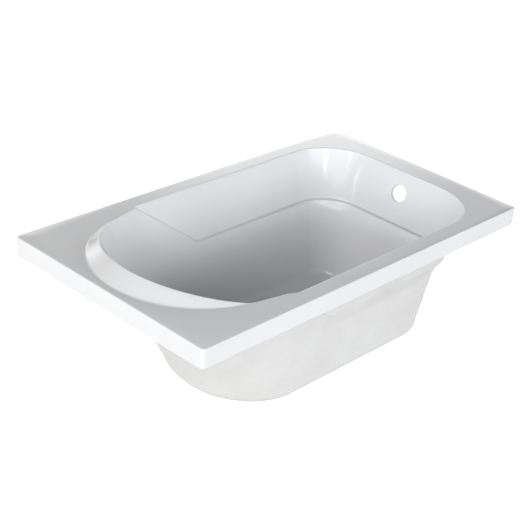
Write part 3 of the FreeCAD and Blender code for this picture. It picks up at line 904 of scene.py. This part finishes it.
# %% Scatter the strands
def strands_tree():
    """Scatters bundles over a mesh and presses them on to it."""
    tree, given, out = new_tree("GeometryNodeTree", "chopped_strands", (
        ("Geometry", "Geometry", None), ("Float", "Density", 2400.0), ("Int", "Seed", 3),
        ("Float", "Length", 0.028), ("Float", "Half width", 0.0009), ("Float", "Height", 0.00016),
        ("Float", "Bend", 0.004), ("Vector", "Clear centre", (0, 0, 0)), ("Float", "Clear radius", 0.05),
        ("Material", "Material", None)), (("Geometry", "Geometry"),))
    seed, three = given["Seed"], {"data_type": "FLOAT_VECTOR"}
    position = add(tree, "GeometryNodeInputPosition")
    gap = vector(tree, "DISTANCE", position, given["Clear centre"])
    density = times(tree, given["Density"], maths(tree, "GREATER_THAN", gap, given["Clear radius"]))
    spread = tree.nodes.new("GeometryNodeDistributePointsOnFaces")
    wire(tree, spread.inputs, Mesh=given["Geometry"], Density=density, Seed=seed)

    ribbon = add(tree, "GeometryNodeMeshGrid", Vertices_X=8, Vertices_Y=5, Size_X=given["Length"],
                 Size_Y=times(tree, given["Half width"], 2.0))
    parts = tree.nodes.new("ShaderNodeSeparateXYZ")
    wire(tree, parts.inputs, Vector=position)
    half_length = times(tree, given["Length"], 0.5)
    run = maths(tree, "ABSOLUTE", maths(tree, "DIVIDE", parts.outputs["X"], half_length))
    side = maths(tree, "ABSOLUTE", maths(tree, "DIVIDE", parts.outputs["Y"], given["Half width"]))
    hollow = plus(tree, maths(tree, "POWER", run, 5.0), maths(tree, "POWER", side, 2.0))
    crown = maths(tree, "SUBTRACT", 1.0, times(tree, hollow, 1.4))
    strand = add(tree, "GeometryNodeStoreNamedAttribute", data_type="FLOAT", domain="POINT",
                 Geometry=ribbon, Name="lift", Value=times(tree, crown, given["Height"]))

    turn = add(tree, "FunctionNodeRandomValue", ((2, 0.0), (3, 2 * math.pi)), 1, data_type="FLOAT", Seed=seed)
    spin = add(tree, "ShaderNodeCombineXYZ", ((2, turn),))
    way = add(tree, "FunctionNodeRotateRotation", rotation_space="LOCAL",
              Rotation=spread.outputs["Rotation"], Rotate_By=spin)
    sizes = ((0, (0.5, 0.7, 1.0)), (1, (1.3, 1.5, 1.0)))
    laid_out = add(tree, "GeometryNodeInstanceOnPoints", Points=spread.outputs["Points"], Instance=strand,
                   Rotation=way, Scale=add(tree, "FunctionNodeRandomValue", sizes, Seed=seed, **three))
    real = add(tree, "GeometryNodeRealizeInstances", ((0, laid_out),))
    swirl = add(tree, "ShaderNodeTexNoise", output=1, Vector=position, Scale=16.0, Detail=0.0)
    middle = vector(tree, "SUBTRACT", swirl, (0.5, 0.5, 0.5))
    push = vector(tree, "SCALE", middle, given["Bend"])
    bent = add(tree, "GeometryNodeSetPosition", Geometry=real, Offset=push)
    normal = add(tree, "GeometryNodeInputNormal")
    facing = add(tree, "GeometryNodeFieldOnDomain", ((0, normal),), domain="POINT", **three)
    nearest, upwards = (add(tree, "GeometryNodeSampleNearestSurface", Mesh=given["Geometry"], Value=value,
                            **three) for value in (position, facing))
    lift = add(tree, "GeometryNodeInputNamedAttribute", Name="lift", data_type="FLOAT")
    seat = vector(tree, "ADD", nearest, vector(tree, "SCALE", upwards, lift))
    pressed = add(tree, "GeometryNodeSetPosition", Geometry=bent, Position=seat)
    clean = add(tree, "GeometryNodeRemoveAttribute", Geometry=pressed, Name="lift")
    painted = add(tree, "GeometryNodeSetMaterial", Geometry=clean, Material=given["Material"])
    wire(tree, out, Geometry=painted)
    return tree


def strand_piece(name, rows, seed, centre):
    """Strands over a strip of laminate, given as open rows."""
    rings = [both_halves(row) for row in rows]
    carrier = mesh_of(name + "_strip", rings, ring_faces(len(rings), len(rings[0])))
    carrier.shade_smooth()
    values = {"Seed": seed, "Clear centre": centre, "Clear radius": 0.05, "Material": GLASS}
    piece = plain_mesh(name, carrier, STRANDS_TREE, values)
    piece.data.shade_smooth()
    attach(piece, "root")
    return len(piece.data.polygons)


STRANDS_TREE = strands_tree()
GLASS = laminate_material("glass_strands", (0.75, 0.748, 0.742), (0.84, 0.84, 0.837))
strip_depths = (*range(24, 130, 21), *range(145, 209, 7), 218, *range(230, 363, 22))
wall_strip = soft_rows(Wall(SKIN), strip_depths)
base_wall = Wall(SKIN + COVER_OVER)
base_strip = [base_wall.at(380)] + floor_rows(base_wall, RIM_HEIGHT, COVER_RADIUS)[:3:-1]
print("strand faces:", strand_piece("wall_strands", wall_strip, 3, [v * MM for v in overflow_at]),
      strand_piece("base_strands", base_strip, 8, (0, 0, 9)))

# %% [markdown]
# ## Studio
# The bath stands on a plain white floor that is clear when seen from below. The room is bright in a
# band near eye level and dark overhead, so the lip and the upper walls are bright, while the flat
# rim and the deep basin are grey. That contrast shows the shape of an all-white object. A glow
# behind the far corner is mirrored in the rim there, and a broad low one with two small bright
# spots is mirrored in the round foot corner.

# %% Floor and room
FLOOR_SIZE, FLOOR_LEVEL, FLOOR_GLOW = 30.0, -0.0005, 2.6
BAND_TOP, BAND_END, BAND_LIGHT = 0.25, 0.5, 2.3
GLOWS = ((215, 8, 30, 0.85), (41, 20.5, 9, 1.6), (191, 10.5, 4.8, 6.0), (242, 11.5, 7.2, 5.0))


def floor_material():
    """A matt white that glows in mirrors and to the camera, and is clear from below."""
    made, tree, shader = material("studio_floor")
    ray = tree.nodes.new("ShaderNodeLightPath").outputs
    clouds = use(tree, CLOUDS, Scale=2.0, Contrast=0.2)
    mirrored = maths(tree, "MAXIMUM", ray["Is Glossy Ray"], ray["Is Transmission Ray"])
    seen = maths(tree, "MAXIMUM", ray["Is Camera Ray"], mirrored)
    grey = blend_colour(tree, clouds["Mask"], (0.60, 0.60, 0.60), (0.64, 0.64, 0.64))
    wire(tree, shader, Base_Color=grey, Roughness=0.9, Emission_Color=(0.35, 0.35, 0.35, 1),
         Emission_Strength=times(tree, seen, FLOOR_GLOW))
    below = times(tree, ray["Is Camera Ray"], add(tree, "ShaderNodeNewGeometry", output="Backfacing"))
    clear, face = add(tree, "ShaderNodeBsdfTransparent"), tree.nodes["Principled BSDF"].outputs[0]
    mixed = add(tree, "ShaderNodeMixShader", ((0, below), (1, face), (2, clear)))
    wire(tree, tree.nodes["Material Output"].inputs, Surface=mixed)
    return made


def make_floor():
    square = ((-1, -1), (1, -1), (1, 1), (-1, 1))
    mesh = bpy.data.meshes.new("floor")
    mesh.from_pydata([(x * FLOOR_SIZE, y * FLOOR_SIZE, FLOOR_LEVEL) for x, y in square], [], [range(4)])
    mesh.materials.append(floor_material())
    made = linked("floor", mesh)


def direction(azimuth, elevation):
    """The way to a point of the sky."""
    a, e = math.radians(azimuth), math.radians(elevation)
    return math.cos(a) * math.cos(e), math.sin(a) * math.cos(e), math.sin(e)


def glow(tree, way, azimuth, elevation, spread, strength):
    """A soft round patch of light in the room."""
    near = vector(tree, "DOT_PRODUCT", way, direction(azimuth, elevation))
    edge = math.cos(math.radians(spread))
    return times(tree, remap(tree, near, edge, 1.0, interpolation_type="SMOOTHSTEP"), strength)


def make_world():
    """The room as the bath mirrors it, and plain white to the camera."""
    world = bpy.data.worlds.new("studio")
    bpy.context.scene.world = world
    world.use_nodes = True
    tree = world.node_tree
    tree.nodes.clear()
    way = add(tree, "ShaderNodeTexCoord", output="Generated")
    up = add(tree, "ShaderNodeSeparateXYZ", ((0, way),), "Z")
    light = maths(tree, "MINIMUM", remap(tree, up, 0.0, BAND_TOP, 0.0, BAND_LIGHT),
                  remap(tree, up, BAND_TOP, BAND_END, BAND_LIGHT, 0.0))
    for patch in GLOWS:
        light = plus(tree, light, glow(tree, way, *patch))
    room, white = (add(tree, "ShaderNodeBackground", Color=(1, 1, 1, 1), Strength=strength)
                   for strength in (light, 1.0))
    ray = tree.nodes.new("ShaderNodeLightPath").outputs
    mixed = add(tree, "ShaderNodeMixShader", ((0, ray["Is Camera Ray"]), (1, room), (2, white)))
    wire(tree, tree.nodes.new("ShaderNodeOutputWorld").inputs, Surface=mixed)


make_floor()
make_world()
print("glows in the room:", len(GLOWS))

# %% [markdown]
# ## Lamps and camera
# A broad window lamp lights the near side, and three soft boxes higher up light the headrest and
# reach down into the basin. The camera is the photograph's own, fitted to the corners of the rim.

# %% Lamps and camera
LAMP_AIM, LAMP_AWAY = Vector((0, 0, 0.3)), 4
LAMPS = (("front_window", 262, 15, (3.6, 2.2), 44, (0.955, 0.98, 1.0)),
         ("head_box", 166, 32, (1.5, 1.3), 32, (1.0, 0.985, 0.95)),
         ("back_box", 191, 31, (1.5, 1.2), 25, (1.0, 0.985, 0.95)),
         ("side_box", 243, 31, (1.5, 1.2), 12, (1.0, 1.0, 1.0)))
CAMERA_TURNS, CAMERA_SHIFT = (-48.624, 28.03, 5.522), (-46.171, -117.762, 3576.108)
FOCAL_PIXELS, PHOTO_PIXELS, SENSOR = 1311.293, 528, 36.0


def area_lamp(name, azimuth, elevation, size, power, colour):
    """A soft box, aimed at the bath."""
    place = LAMP_AIM + LAMP_AWAY * Vector(direction(azimuth, elevation))
    lamp = bpy.data.lights.new(name, "AREA")
    lamp.shape, lamp.energy, lamp.color = "RECTANGLE", power, colour
    lamp.size, lamp.size_y = size
    made = linked(name, lamp)
    made.location = place
    made.rotation_mode = "QUATERNION"
    made.rotation_quaternion = (LAMP_AIM - place).to_track_quat("-Z", "Y")


def photo_camera():
    """The photograph's camera, held a little askew."""
    azimuth, elevation, roll = map(math.radians, CAMERA_TURNS)
    level = math.cos(elevation)
    back = Vector((math.sin(azimuth) * level, -math.cos(azimuth) * level, math.sin(elevation)))
    right = Vector((0, 0, 1)).cross(back).normalized()
    up = back.cross(right)
    c, s = math.cos(roll), math.sin(roll)
    axes = (right * c + up * s, up * c - right * s, back)
    shift = axes[0] * CAMERA_SHIFT[0] + axes[1] * CAMERA_SHIFT[1] + axes[2] * CAMERA_SHIFT[2]
    data = bpy.data.cameras.new("photo_camera")
    data.sensor_width, data.lens = SENSOR, SENSOR * FOCAL_PIXELS / PHOTO_PIXELS
    data.clip_start, data.clip_end = 0.1, 60
    camera = linked("photo_camera", data)
    place = Matrix.Translation((shift + Vector((0, 0, RIM_HEIGHT))) * MM)
    camera.matrix_world = place @ Matrix(axes).transposed().to_4x4()
    bpy.context.scene.camera = camera
    return camera


for lamp in LAMPS:
    area_lamp(*lamp)
camera = photo_camera()
bpy.context.scene.view_settings.view_transform = "Standard"
print("camera at", [round(v, 3) for v in camera.matrix_world.translation])
